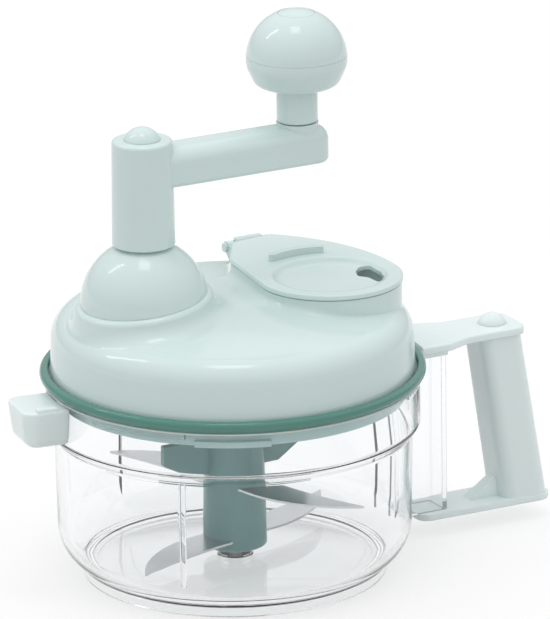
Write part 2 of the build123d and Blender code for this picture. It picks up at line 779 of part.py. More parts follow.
def crank_cap():
    radius = (cap_radius ** 2 + cap_rise ** 2) / (2 * cap_rise)
    dome = Pos(0, 0, post_top + cap_rise - radius) * Sphere(radius)
    dome = dome & disc(cap_radius, post_top, cutter)
    spigot = sleeve(cap_spigot_radius, cap_spigot_radius - 1.4, post_top - 3.2, post_top + 0.5)
    return Pos(crank_x, 0, 0) * (dome + spigot)


# ---------------------------------------------------------------- knob
def knob_pin():
    """Steel axle fixed in the arm; the knob turns on it."""
    high = knob_centre + 1.5
    pin = turned((0, arm_underside + 3, 0), (knob_pin_radius, arm_underside + 3, 0),
                 (knob_pin_radius, high, 0.8), (0, high, 0))
    return Pos(knob_x, 0, 0) * pin


def knob_clip():
    low = knob_centre - 1.2
    return sleeve(knob_pin_radius + 2.6, knob_pin_radius, low, low + clip_thickness, knob_x)


def knob_stem():
    spigot_top = knob_centre - 1.2 - hub_gap
    stem = turned(
        (0, stem_low, 0), (stem_radius, stem_low, 0.8), (stem_radius, knob_low, 0),
        (stem_spigot_radius, knob_low, 0), (stem_spigot_radius, spigot_top, 0.5), (0, spigot_top, 0))
    return Pos(knob_x, 0, 0) * (stem - disc(knob_pin_radius + running_clearance, 0, cutter))


def knob_ball(inset):
    """Ball with a flattened underside, with every face moved in by the inset."""
    radius = knob_radius - inset
    low = knob_low + inset
    ball = Pos(0, 0, knob_centre) * Sphere(radius)
    belly = turned(
        (0, low, 0), (knob_flat_radius, low, 1), (radius - 3.6, low + 2.4, 5),
        (radius, knob_centre - 2.5, 9), (radius, knob_centre + radius, 0), (0, knob_centre + radius, 0))
    upper = ball & disc(cutter, knob_centre, cutter)
    return Pos(knob_x, 0, 0) * (upper + (belly & disc(cutter, 0, knob_centre)))


def knob_lower():
    shell = knob_ball(0) - knob_ball(knob_wall)
    shell = shell & disc(cutter, 0, knob_seam)
    boss = disc(stem_spigot_radius + 2.4, knob_low + 1, knob_low + 8, knob_x)
    return shell + boss - disc(stem_spigot_radius, 0, cutter, knob_x)


def knob_upper():
    shell = knob_ball(0) - knob_ball(knob_wall)
    shell = shell & disc(cutter, knob_seam, cutter)
    boss_low = knob_centre + knob_radius - knob_disc_thickness - 3
    boss = disc(knob_disc_radius + 1, boss_low, cutter, knob_x) & knob_ball(0)
    seat = disc(knob_disc_radius, knob_centre + knob_radius - knob_disc_thickness - 1, cutter, knob_x)
    return shell + boss - seat


def knob_cap():
    seat = disc(knob_disc_radius, knob_centre + knob_radius - knob_disc_thickness - 1, cutter, knob_x)
    return seat & knob_ball(0.15)


# ---------------------------------------------------------------- feed cover
def feed_cover():
    plate = Pos(0, 0, cover_low) * extrude(chute_outline(0), cover_thickness)
    plate = fillet(plate.edges().group_by(Axis.Z)[-1], cover_edge)
    floor = cover_top - dish_depth
    under = turned((0, floor - dish_wall, 0), (dish_radius - 3.2, floor - dish_wall, 2),
                   (dish_radius + 0.3, cover_low, 0), (dish_radius + 0.3, cover_top, 0), (0, cover_top, 0))
    hollow = turned((0, floor, 0), (dish_radius - 3.4, floor, 3), (dish_radius, cover_top - 0.3, 0.5),
                    (dish_radius, cover_top + 1, 0), (0, cover_top + 1, 0))
    slot = extrude(SlotArc(CenterArc((0, 0), drip_slot_radius, drip_slot_start, drip_slot_arc),
                           drip_slot_width), cutter)
    rib = Rot(0, 0, finger_rib_start) * turned(
        (finger_rib_radius - finger_rib_width / 2, cover_top - 0.5, 0),
        (finger_rib_radius + finger_rib_width / 2, cover_top - 0.5, 0),
        (finger_rib_radius + finger_rib_width / 2, cover_top + finger_rib_height, 1.2),
        (finger_rib_radius - finger_rib_width / 2, cover_top + finger_rib_height, 0.6), arc=finger_rib_arc)
    left = hinge_left + hinge_ear + hinge_gap
    right = hinge_right - hinge_ear - hinge_gap
    tongue_y = cover_back_left[1] - 2
    tongue = Pos(left, tongue_y, cover_low) * Box(
        right - left, hinge_y - tongue_y, cover_thickness, align=(Align.MIN, Align.MIN, Align.MIN))
    barrel = Pos((left + right) / 2, hinge_y, hinge_z) * (
        Rot(0, 90, 0) * Cylinder(hinge_knuckle_radius, right - left))
    cover = plate + Pos(chute_x, chute_y, 0) * under + tongue + barrel
    cover += Pos(chute_x, chute_y, 0) * rib
    cover -= Pos(chute_x, chute_y, 0) * (hollow + slot)
    return cover - hinge_bore(hinge_pin_radius + running_clearance)


def hinge_pin():
    length = hinge_right - hinge_left
    pin = Cylinder(hinge_pin_radius, length, align=(Align.CENTER, Align.CENTER, Align.MIN))
    head = Pos(0, 0, -1.2) * Cylinder(hinge_pin_radius + 0.7, 1.2, align=(Align.CENTER, Align.CENTER, Align.MIN))
    return Pos(hinge_left, hinge_y, hinge_z) * (Rot(0, 90, 0) * (pin + head))


# ---------------------------------------------------------------- blade unit
def blade_spindle():
    """Steel hexagon bar that carries the drive from the pinion into the blade hub."""
    return hex_bar(spindle_size, hub_top_height - 18, gear_top - 1)


def blade_hub():
    body = turned(
        (0, hub_bottom, 0), (hub_radius + hub_flare, hub_bottom, 1.5), (hub_radius, hub_top_height, 1.0),
        (0, hub_top_height, 0))
    wing = make_face(Plane.XZ * Polyline(
        (0, wing_low), (hub_radius + 8, wing_low), (wing_length, wing_low + 7),
        (wing_length, wing_low + wing_height), (0, wing_low + wing_height), close=True))
    wing = extrude(wing, wing_thickness / 2, both=True)
    body += wing + Rot(0, 0, 180) * wing
    body -= hex_bar(spindle_size, hub_top_height - 18, cutter)
    body -= disc(pivot_pin_radius + 2, 0, hub_bottom + 2 * pivot_pin_length)
    for height in (lower_blade_height, upper_blade_height):
        seat = block(-hub_radius * 2, hub_radius * 2, blade_width / 2, height, height + blade_thickness)
        body -= blade_turn(height) * seat
    return body


def blade_turn(height):
    return Rot(0, 0, 20 if height == lower_blade_height else 110)


def pivot_bush():
    return sleeve(pivot_pin_radius + 2, pivot_pin_radius + running_clearance, hub_bottom, hub_bottom + pivot_pin_length + 1)


def blade(height):
    """S-shaped steel blade: two curved wings, each ground to an edge on its leading side."""
    root = blade_width / 2
    upper = make_face([
        *Polyline((0, -root), (hub_radius, -root)).edges(),
        ThreePointArc((hub_radius, -root), (blade_length * 0.62, -root + 1.5), (blade_length, root)).edge(),
        ThreePointArc((blade_length, root), (blade_length * 0.55, root * 0.8), (hub_radius, root)).edge(),
        *Polyline((hub_radius, root), (0, root), (0, -root)).edges(),
    ])
    half = Pos(0, 0, height) * extrude(upper, blade_thickness)
    whole = half + Rot(0, 0, 180) * half
    return blade_turn(height) * (whole - disc(pivot_pin_radius + 2, 0, cutter))


# ---------------------------------------------------------------- write every piece
save(bowl(), "bowl")
save(bowl_pivot_pin(), "bowl_pivot_pin")
save(handle_grip(), "handle_grip")
save(handle_top_plate(), "handle_top_plate")
save(handle_screw(), "handle_screw")
save(handle_button(), "handle_button")
save(tab_cap(), "tab_cap")
save(rim_seal(), "rim_seal")
save(inner_lid(), "inner_lid")
save(lid_shell(), "lid_shell")
save(gear_dome(), "gear_dome")
save_group(lid_screws(), "lid_screws")
save(drive_gear(), "drive_gear")
save(pinion_gear(), "pinion_gear")
save(pinion_bush(), "pinion_bush")
save(shaft_bush_lower(), "shaft_bush_lower")
save(shaft_bush_upper(), "shaft_bush_upper")
save(crank_shaft(), "crank_shaft")
save(shaft_clip(), "shaft_clip")
save(crank_arm(), "crank_arm")
save(crank_screw(), "crank_screw")
save(crank_washer(), "crank_washer")
save(crank_cap(), "crank_cap")
save(knob_pin(), "knob_pin")
save(knob_clip(), "knob_clip")
save(knob_stem(), "knob_stem")
save(knob_lower(), "knob_lower")
save(knob_upper(), "knob_upper")
save(knob_cap(), "knob_cap")
save(feed_cover(), "feed_cover")
save(hinge_pin(), "hinge_pin")
save(blade_spindle(), "blade_spindle")
save(blade_hub(), "blade_hub")
save(pivot_bush(), "pivot_bush")
save(blade(lower_blade_height), "blade_lower")
save(blade(upper_blade_height), "blade_upper")
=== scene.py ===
import bpy
import json
import math
import numpy as np
from mathutils import Matrix, Vector


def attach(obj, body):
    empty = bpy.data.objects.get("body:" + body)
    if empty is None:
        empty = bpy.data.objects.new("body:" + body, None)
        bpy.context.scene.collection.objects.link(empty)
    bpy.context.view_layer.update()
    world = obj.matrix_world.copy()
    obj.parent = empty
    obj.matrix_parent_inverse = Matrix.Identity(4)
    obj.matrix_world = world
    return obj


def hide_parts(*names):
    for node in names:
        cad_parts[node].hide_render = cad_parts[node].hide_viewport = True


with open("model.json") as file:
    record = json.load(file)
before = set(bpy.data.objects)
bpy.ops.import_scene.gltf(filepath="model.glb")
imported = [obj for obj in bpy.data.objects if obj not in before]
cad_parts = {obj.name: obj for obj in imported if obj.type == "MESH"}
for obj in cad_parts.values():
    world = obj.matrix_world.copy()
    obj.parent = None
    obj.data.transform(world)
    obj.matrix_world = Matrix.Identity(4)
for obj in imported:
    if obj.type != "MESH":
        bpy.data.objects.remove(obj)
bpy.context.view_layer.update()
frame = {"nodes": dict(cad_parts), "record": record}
nodes = frame["nodes"]
scene = bpy.context.scene
mm = 0.001
print("stage: frame loaded")


# shader trees are written as add(kind, inputs, settings); a socket given as an input is linked
class Tree:
    def __init__(self, nodeTree):
        self.tree = nodeTree
        self.tree.nodes.clear()

    def add(self, kind, inputs=None, **settings):
        node = self.tree.nodes.new(kind)
        for key, value in settings.items():
            setattr(node, key, value)
        for key, value in (inputs or {}).items():
            self.put(node.inputs[key], value)
        return node

    def put(self, socket, value):
        if isinstance(value, bpy.types.NodeSocket):
            self.tree.links.new(value, socket)
        else:
            socket.default_value = value

    def blend(self, factor, first, second):
        mix = self.add("ShaderNodeMix", data_type="RGBA")
        self.put(mix.inputs[0], factor)
        self.put(mix.inputs[6], first)
        self.put(mix.inputs[7], second)
        return mix.outputs[2]

    def higher(self, first, second):
        return self.add("ShaderNodeMath", {0: first, 1: second}, operation="MAXIMUM").outputs[0]


def newMaterial(name):
    material = bpy.data.materials.new(name)
    material.use_nodes = True
    return material, Tree(material.node_tree)


# a colour given as it should look on screen, 0 to 255, as the shader's linear numbers
def linear(red, green, blue):
    screen = np.array([red, green, blue]) / 255
    low = screen / 12.92
    high = ((screen + 0.055) / 1.055) ** 2.4
    return (*np.where(screen <= 0.04045, low, high).tolist(), 1.0)


def grey(value):
    return value, value, value, 1.0


# shared effect: soft clouds for colour and gloss, and a height = 6 * broad waves + fine grain
grainLook = {"clouds": 24.0, "waves": 60.0, "grain": 900.0, "waveShare": 6.0, "height": 0.000006}


def makeGrainGroup():
    group = bpy.data.node_groups.new("mouldedGrain", "ShaderNodeTree")
    group.interface.new_socket("Clouds", in_out="OUTPUT", socket_type="NodeSocketFloat")
    group.interface.new_socket("Grain", in_out="OUTPUT", socket_type="NodeSocketFloat")
    tree = Tree(group)
    where = tree.add("ShaderNodeTexCoord").outputs["Object"]
    clouds = tree.add("ShaderNodeTexNoise", {"Vector": where, "Scale": grainLook["clouds"], "Detail": 3.0})
    fine = tree.add("ShaderNodeTexNoise", {"Vector": where, "Scale": grainLook["grain"], "Detail": 2.0})
    wave = tree.add("ShaderNodeTexNoise", {"Vector": where, "Scale": grainLook["waves"], "Detail": 1.0})
    height = tree.add("ShaderNodeMath", {0: wave.outputs["Fac"], 1: grainLook["waveShare"], 2: fine.outputs["Fac"]},
                      operation="MULTIPLY_ADD")
    tree.add("NodeGroupOutput", {"Clouds": clouds.outputs["Fac"], "Grain": height.outputs[0]})
    return group


grainGroup = makeGrainGroup()


# the normal of a moulded wall: corners rounded for the light by `edge` metres, then the grain
def mouldedNormal(tree, grain, edge, strength):
    bevel = tree.add("ShaderNodeBevel", {"Radius": edge}, samples=4)
    bump = tree.add("ShaderNodeBump", {"Height": grain.outputs["Grain"], "Strength": strength,
                                       "Distance": grainLook["height"], "Normal": bevel.outputs["Normal"]})
    return bump.outputs["Normal"]


# moulded plastic: colour = base mixed to shade by the clouds; roughness = base + clouds * 0.05;
# `glow` is how much light spreads under the surface, and `lift` is painted light: a glow of the base colour given off
# as though the part were a lamp
def glossyPlastic(name, colour, shade, roughness, edge=0.0006, glow=0.0, lift=0.0):
    material, tree = newMaterial(name)
    grain = tree.add("ShaderNodeGroup", node_tree=grainGroup)
    rough = tree.add("ShaderNodeMapRange", {"Value": grain.outputs["Clouds"], "To Min": roughness,
                                            "To Max": roughness + 0.05})
    surface = tree.add("ShaderNodeBsdfPrincipled", {
        "Base Color": tree.blend(grain.outputs["Clouds"], colour, shade), "Roughness": rough.outputs["Result"],
        # the emission (lift) is a painted glow of the base colour
        "IOR": 1.46, "Normal": mouldedNormal(tree, grain, edge, 0.25), "Emission Color": colour,
        "Emission Strength": lift, "Subsurface Weight": glow, "Subsurface Radius": (0.004, 0.005, 0.005),
        "Subsurface Scale": 1.0})
    tree.add("ShaderNodeOutputMaterial", {"Surface": surface.outputs["BSDF"]})
    return material


# clear plastic: a refracting body, with light let straight through on shadow rays; its wall is
# faintly uneven, height = soft noise at 50 mm, 0.2 mm high at a strength of 0.2
def clearPlastic(name, tint, roughness):
    material, tree = newMaterial(name)
    where = tree.add("ShaderNodeTexCoord")
    soft = tree.add("ShaderNodeTexNoise", {"Vector": where.outputs["Object"], "Scale": 20.0, "Detail": 2.0})
    bump = tree.add("ShaderNodeBump", {"Height": soft.outputs["Fac"], "Strength": 0.2, "Distance": 0.0002})
    path = tree.add("ShaderNodeLightPath")
    glass = tree.add("ShaderNodeBsdfPrincipled", {
        "Base Color": tint, "Roughness": roughness, "IOR": 1.49, "Transmission Weight": 1.0,
        "Normal": bump.outputs["Normal"]})
    through = tree.add("ShaderNodeBsdfTransparent", {"Color": tint})
    mix = tree.add("ShaderNodeMixShader", {
        0: path.outputs["Is Shadow Ray"], 1: glass.outputs["BSDF"], 2: through.outputs["BSDF"]})
    tree.add("ShaderNodeOutputMaterial", {"Surface": mix.outputs["Shader"]})
    return material


# tinted plastic of the splash ring: dark green above the bowl's rim and paler below, the paler colour being
# painted light for the light that comes through the skirt: colour = ring to skirt as the height falls from
# the first of `fade` to the second, in metres
def tintedPlastic(name, ring, skirt, roughness, fade=(0.0865, 0.0835)):
    material, tree = newMaterial(name)
    grain = tree.add("ShaderNodeGroup", node_tree=grainGroup)
    where = tree.add("ShaderNodeTexCoord")
    height = tree.add("ShaderNodeSeparateXYZ", {"Vector": where.outputs["Object"]})
    paintedLightShare = tree.add("ShaderNodeMapRange", {"Value": height.outputs["Z"], "From Min": fade[0], "From Max": fade[1],
                                            "To Min": 0.0, "To Max": 1.0})
    surface = tree.add("ShaderNodeBsdfPrincipled", {
        # the blend to the skirt colour is painted light coming through the skirt
        "Base Color": tree.blend(paintedLightShare.outputs["Result"], ring, skirt), "Roughness": roughness, "IOR": 1.5,
        "Normal": mouldedNormal(tree, grain, 0.0005, 0.2), "Subsurface Weight": 0.3,
        "Subsurface Radius": (0.002, 0.004, 0.004), "Subsurface Scale": 1.0})
    tree.add("ShaderNodeOutputMaterial", {"Surface": surface.outputs["BSDF"]})
    return material


# metal: roughness = base + streaky noise * 0.12, the streaks ten times longer along Z
def metal(name, colour, roughness):
    material, tree = newMaterial(name)
    where = tree.add("ShaderNodeTexCoord")
    streak = tree.add("ShaderNodeMapping", {"Vector": where.outputs["Object"], "Scale": (400.0, 400.0, 40.0)})
    noise = tree.add("ShaderNodeTexNoise", {"Vector": streak.outputs["Vector"], "Scale": 1.0, "Detail": 2.0})
    rough = tree.add("ShaderNodeMapRange", {"Value": noise.outputs["Fac"], "To Min": roughness,
                                            "To Max": roughness + 0.12})
    surface = tree.add("ShaderNodeBsdfPrincipled", {
        "Base Color": colour, "Metallic": 1.0, "Roughness": rough.outputs["Result"]})
    tree.add("ShaderNodeOutputMaterial", {"Surface": surface.outputs["BSDF"]})
    return material


# a mesh's look: one material, smooth faces, and a sharp edge where faces turn past `sharp` degrees
def dress(mesh, material, sharp=32):
    mesh.materials.clear()
    mesh.materials.append(material)
    mesh.polygons.foreach_set("use_smooth", np.ones(len(mesh.polygons), bool))
    mesh.set_sharp_from_angle(angle=math.radians(sharp))


mint = glossyPlastic("mintPlastic", linear(214, 231, 229), linear(210, 228, 226), 0.1)
# handle and tab: a paler copy of the mint with a painted glow (lift), painted light for the floor's bounce on these
# low parts; the light spread under the surface is the plastic's translucency
paintedLightMint = glossyPlastic("paleMintPlastic", linear(221, 232, 231), linear(218, 230, 229), 0.13, glow=0.3, lift=0.1)
slotMaterials = {
    "mint": mint,
    "clear_plastic": clearPlastic("clearPlastic", (0.975, 0.985, 0.99, 1.0), 0.015),
    # the ring's pale second colour is painted light on the skirt below the rim
    "dark_green": tintedPlastic("ringGreen", linear(84, 138, 126), linear(188, 218, 217), 0.07),
    "blade_green": glossyPlastic("bladeGreen", linear(104, 150, 150), linear(98, 144, 144), 0.2),
    "seal_white": glossyPlastic("sealWhite", linear(225, 232, 228), linear(218, 226, 222), 0.5),
    "gear_white": glossyPlastic("gearWhite", linear(226, 226, 220), linear(216, 216, 210), 0.45),
    "steel": metal("steel", linear(190, 192, 194), 0.25),
    "blade_steel": metal("bladeSteel", linear(200, 202, 204), 0.18),
}
# parts dressed in the paler mint with the painted glow
paintedLightNodes = ("handle_grip", "handle_top_plate", "handle_button", "tab_cap")
for subpart in frame["record"]["subparts"]:
    name = subpart["node"]
    dress(nodes[name].data, paintedLightMint if name in paintedLightNodes else slotMaterials[subpart["material_slot"]])
print("stage: materials")


# an outline given as (radius, height, corner rounding) in mm, each rounding drawn as a tangent arc
def roundedOutline(corners, closed=True, steps=9):
    points = []
    count = len(corners)
    for index, (radius, height, rounding) in enumerate(corners):
        here = np.array([radius, height], float)
        if not rounding or (not closed and index in (0, count - 1)):
            points.append(here)
            continue
        before = np.array(corners[index - 1][:2], float) - here
        after = np.array(corners[(index + 1) % count][:2], float) - here
        before, after = before / np.linalg.norm(before), after / np.linalg.norm(after)
        half = math.acos(np.clip(before @ after, -1, 1)) / 2
        bisector = (before + after) / np.linalg.norm(before + after)
        centre = here + bisector * rounding / math.sin(half)
        start = here + before * rounding / math.tan(half) - centre
        end = here + after * rounding / math.tan(half) - centre
        along = np.linspace(0, 1, steps)[:, None]
        turn = math.acos(np.clip(start @ end / rounding ** 2, -1, 1))
        arc = (np.sin((1 - along) * turn) * start + np.sin(along * turn) * end) / math.sin(turn)
        points.extend(centre + arc)
    return np.array(points)


# points on a circle in plan: centre + radius * (cos, sin) of each angle in degrees
def arcPoints(radius, start, end, steps, x=0.0, y=0.0):
    angle = np.radians(np.linspace(start, end, steps))
    return np.column_stack([x + radius * np.cos(angle), y + radius * np.sin(angle)])


# a plan's points all at one height
def level(plan, height):
    return np.column_stack([plan, np.full(len(plan), height)])


def unit(vectors):
    return vectors / np.linalg.norm(vectors, axis=1)[:, None]


# unit vectors a quarter turn to the right of each direction
def rightOf(directions):
    heading = unit(directions)
    return np.column_stack([heading[:, 1], -heading[:, 0]])


# a closed plan walked round in `count` equal steps
def evenly(plan, count):
    closed = np.vstack([plan, plan[:1]])
    length = np.concatenate([[0], np.cumsum(np.hypot(*np.diff(closed, axis=0).T))])
    station = np.arange(count) * length[-1] / count
    return np.column_stack([np.interp(station, length, closed[:, axis]) for axis in (0, 1)])


# rings of points (turn, step, xyz) joined up between a first and a last pole
def closedRings(rings, firstPole, lastPole):
    turns, count = rings.shape[:2]
    verts = np.vstack([rings.reshape(-1, 3), [firstPole, lastPole]])
    first = np.arange(turns) * count
    after = np.roll(first, -1)
    here = first[:, None] + np.arange(count - 1)[None]
    there = after[:, None] + np.arange(count - 1)[None]
    quads = np.stack([here, there, there + 1, here + 1], -1).reshape(-1, 4).tolist()
    low = np.column_stack([np.full(turns, turns * count), after, first]).tolist()
    high = np.column_stack([np.full(turns, turns * count + 1), first + count - 1, after + count - 1]).tolist()
    return verts, quads + low + high


# a lathe: an outline from the axis round to the axis again, each point carried round as
# (r cos a, r sin a, z) in `turns` steps, with one vertex at each pole and faces outwards
def latheMesh(outline, turns):
    inner = outline[1:-1]
    angle = np.arange(turns) * 2 * np.pi / turns
    rings = np.stack([inner[None, :, 0] * np.cos(angle)[:, None], inner[None, :, 0] * np.sin(angle)[:, None],
                      np.broadcast_to(inner[None, :, 1], (turns, len(inner)))], -1)
    return closedRings(rings, (0, 0, outline[0, 1]), (0, 0, outline[-1, 1]))


# a plan in mm, turned by an angle and pushed up from one height to another, with flat ends
def prismMesh(plan, low, high, angle=0.0):
    count = len(plan)
    turn = math.radians(angle)
    flat = np.asarray(plan) @ np.array([[math.cos(turn), math.sin(turn)], [-math.sin(turn), math.cos(turn)]])
    here = np.arange(count)
    there = np.roll(here, -1)
    sides = np.column_stack([here, there, there + count, here + count]).tolist()
    return np.vstack([level(flat, low), level(flat, high)]), sides + [here[::-1].tolist(), (here + count).tolist()]


# plan of a band bent round a centre: the outer arc, a round end, the inner arc back, a round end
def bentBand(inner, outer, start, end, steps=20):
    middle, half = (inner + outer) / 2, (outer - inner) / 2
    cap = arcPoints(half, 0, 180, 13)[1:-1]

    def capAt(angle, turned):
        turn = math.radians(angle)
        axes = np.array([[math.cos(turn), math.sin(turn)], [-math.sin(turn), math.cos(turn)]])
        return middle * axes[0] + cap * turned @ axes

    return np.vstack([arcPoints(outer, start, end, steps), capAt(end, 1),
                      arcPoints(inner, end, start, steps), capAt(start, -1)])


def looseObject(name, verts, faces):
    mesh = bpy.data.meshes.new(name)
    mesh.from_pydata((np.asarray(verts) * mm).tolist(), [], faces)
    loose = bpy.data.objects.new(name, mesh)
    scene.collection.objects.link(loose)
    return loose


# join or cut one loose object with another and keep the result as plain mesh
def combine(base, tool, operation="UNION"):
    modifier = base.modifiers.new("shape", "BOOLEAN")
    modifier.operation = operation
    modifier.solver = "EXACT"
    modifier.object = tool
    result = bpy.data.meshes.new_from_object(base.evaluated_get(bpy.context.evaluated_depsgraph_get()))
    base.modifiers.clear()
    base.data = result
    bpy.data.objects.remove(tool)


def addPrism(base, name, plan, heights, angle=0.0):
    combine(base, looseObject(name, *prismMesh(plan, *heights, angle)))


# the clear bowl: one watertight wall with its foot, step, inner ribs, bayonet lugs, the hollow
# rib that the handle clips over and the lug inside the side tab
bowlShape = {
    "outline": [(0, 4, 0), (61.9, 4, 0.8), (61.9, 0, 0.6), (64.5, 0, 0.6), (64.9, 5.5, 1.2), (75.0, 12.24, 19.0),
                (76.0, 62.0, 2.0), (79.2, 66.0, 2.0), (79.2, 85.2, 0.6), (76.8, 85.2, 0.6), (76.8, 67.0, 2.0),
                (73.6, 63.0, 2.0), (72.6, 6.4, 16.0), (7.0, 6.4, 1.0), (7.0, 10.4, 0.6), (3.05, 10.4, 0.2),
                (3.05, 5.0, 0.2), (0, 5.0, 0)],
    "flange": [(74.2, -8.0, 0), (99.4, -8.0, 1.4), (99.4, 8.0, 1.4), (74.2, 8.0, 0), (74.2, 6.0, 0),
               (97.4, 6.0, 0.8), (97.4, -6.0, 0.8), (74.2, -6.0, 0)],
    "flangeHeights": (11.0, 84.9),
    "plug": [(0, 50, 0), (74.0, 50, 0), (74.8, 62.5, 0), (78.0, 66.5, 0), (78.0, 90, 0), (0, 90, 0)],
    "lug": [(78.0, -8.7, 0), (92.0, -8.7, 1.2), (92.0, 8.7, 1.2), (78.0, 8.7, 0)],
    "lugHeights": (71.1, 82.0),
    "lugAngle": 173.2,
    "rib": [(71.0, -1.2, 0.5), (73.2, -1.2, 0), (73.2, 1.2, 0), (71.0, 1.2, 0.5)],
    "ribHeights": (15.6, 62.4),
    "ribAngles": (105.0, 225.0, 345.0),
    "bayonet": (74.9, 77.8, 34.0),  # inner radius, outer radius and arc
    "bayonetHeights": (82.0, 84.4),
    "bayonetAngles": (90.0, 210.0, 330.0),
}
clearBowl = looseObject("clearBowl", *latheMesh(roundedOutline(bowlShape["outline"], steps=14), 240))
flange = looseObject("flange", *prismMesh(roundedOutline(bowlShape["flange"], steps=6), *bowlShape["flangeHeights"]))
combine(flange, looseObject("plug", *latheMesh(roundedOutline(bowlShape["plug"]), 180)), "DIFFERENCE")
combine(clearBowl, flange)
addPrism(clearBowl, "lug", roundedOutline(bowlShape["lug"], steps=5), bowlShape["lugHeights"], bowlShape["lugAngle"])
for angle in bowlShape["ribAngles"]:
    addPrism(clearBowl, "rib", roundedOutline(bowlShape["rib"], steps=5), bowlShape["ribHeights"], angle)
bayonetInner, bayonetOuter, bayonetArc = bowlShape["bayonet"]
bayonet = np.vstack([arcPoints(bayonetOuter, -bayonetArc / 2, bayonetArc / 2, 13),
                     arcPoints(bayonetInner, bayonetArc / 2, -bayonetArc / 2, 13)])
for angle in bowlShape["bayonetAngles"]:
    addPrism(clearBowl, "bayonet", bayonet, bowlShape["bayonetHeights"], angle)
dress(clearBowl.data, slotMaterials["clear_plastic"])
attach(clearBowl, "bowl")
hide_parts("bowl")
print("stage: clear bowl", len(clearBowl.data.polygons))

# the lid's turned top as height by radius: the crown z = 120.1 - 6.3 (r / 76.3)^2, then the
# shoulder's rounding and the skirt
lidTop = {"crown": 120.1, "fall": 6.3, "edge": 76.3, "shoulder": 11.0, "skirt": (77.3, 89.2), "flat": 60.0}
crownRadius = np.linspace(0, lidTop["flat"], 13)
crownHeight = lidTop["crown"] - lidTop["fall"] * (crownRadius / lidTop["edge"]) ** 2
lidCorners = [*level(np.column_stack([crownRadius, crownHeight]), 0.0),
              (lidTop["edge"], lidTop["crown"] - lidTop["fall"], lidTop["shoulder"]), (*lidTop["skirt"], 0)]
lidOutline = roundedOutline(lidCorners, closed=False, steps=20)
sink = 0.03  # how far a sweep's edges lie inside the walls they meet


def lidHeight(plan):
    return np.interp(np.hypot(plan[:, 0], plan[:, 1]), lidOutline[:, 0], lidOutline[:, 1])


# a concave blend laid into the corner between a wall and the lid, its foot given in plan and laid
# on the lid: each column is (1-t)^2 top + 2t(1-t) corner + t^2 foot
def blendStrip(name, top, corner, foot, steps=14):
    along = np.linspace(0, 1, steps)[None, :, None]
    foot = np.column_stack([foot, lidHeight(foot) - sink])
    verts = (1 - along) ** 2 * top[:, None] + 2 * along * (1 - along) * corner[:, None] + along ** 2 * foot[:, None]
    here = np.arange(len(top))[:, None] * steps + np.arange(steps - 1)[None]
    there = np.roll(here, -1, axis=0)
    faces = np.stack([here, here + 1, there + 1, there], -1).reshape(-1, 4).tolist()
    piece = looseObject(name, verts.reshape(-1, 3), faces)
    piece.data.validate()
    dress(piece.data, mint, sharp=80)
    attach(piece, "lid")


# the plinth's sweep into the lid, wide towards the middle and narrow over the lid's shoulder
plinth = {"x": -41.25, "radius": 34.3, "low": 93.2, "taper": 0.16, "seam": 127.1, "tilt": 7.3, "seamRadius": 27.0,
          "drop": 2.7, "guess": 116.0, "reach": 11.0, "least": 0.8, "limit": 73.5, "steps": 200}
out = arcPoints(1.0, 0, 360, plinth["steps"] + 1)[:-1]


# the plinth's wall in plan: its radius falls by `taper` for each mm of height
def plinthPoint(height):
    radius = plinth["radius"] - plinth["taper"] * (height - plinth["low"])
    return np.column_stack([plinth["x"] + radius * out[:, 0], radius * out[:, 1]])


topHeight = plinth["seam"] + plinth["seamRadius"] * out[:, 0] * math.tan(math.radians(plinth["tilt"])) - plinth["drop"]
base = plinthPoint(np.full(plinth["steps"], plinth["guess"]))
for step in range(3):  # the wall's foot and the lid's height there settle on each other
    baseHeight = lidHeight(base)
    base = plinthPoint(baseHeight)
reach = np.clip(plinth["limit"] - np.hypot(*base.T), plinth["least"], plinth["reach"])
blendStrip("plinthSweep",
           np.column_stack([plinthPoint(topHeight) - out * sink, topHeight]),
           np.column_stack([base, baseHeight]),
           base + out * reach[:, None])

# the chute tower's sweep: its plan is a round end, a long outer arc, two small corners and a waist
tower = {"centre": (41.0, -11.3), "radius": 31.0, "end": (172.8, 355.0, 60),
         "outerCentre": (-8.9, -6.95), "outerRadius": 81.1, "outer": (-4.0, 44.0, 22),
         "corners": [(46.4, 52.4, 3.0), (27.0, 50.3, 3.0), (15.0, 30.0, 3.0)],
         "inset": 0.5, "top": 123.2, "reach": 0.9, "swell": 7.0, "rise": 1.2, "least": 0.5, "most": 9.0, "limit": 74.0}
towerArcs = np.vstack([arcPoints(tower["radius"], *tower["end"], *tower["centre"]),
                       arcPoints(tower["outerRadius"], *tower["outer"], *tower["outerCentre"])])
towerCorners = [*level(towerArcs, 0.0), *tower["corners"]]  # the arcs' own points take no rounding
plan = evenly(roundedOutline(towerCorners), 300)
side = rightOf(np.roll(plan, -2, axis=0) - np.roll(plan, 2, axis=0))
wall = plan - side * tower["inset"]
wallHeight = lidHeight(wall)
reach = tower["reach"] + tower["swell"] * np.clip(-side[:, 0], 0, 1) ** 2
reach = np.minimum(reach, np.clip(tower["limit"] - np.hypot(*wall.T), tower["least"], tower["most"]))
blendStrip("towerSweep",
           np.column_stack([wall - side * sink, np.minimum(wallHeight + reach * tower["rise"], tower["top"])]),
           np.column_stack([wall, wallHeight]),
           wall + side * reach[:, None])
print("stage: lid sweeps")

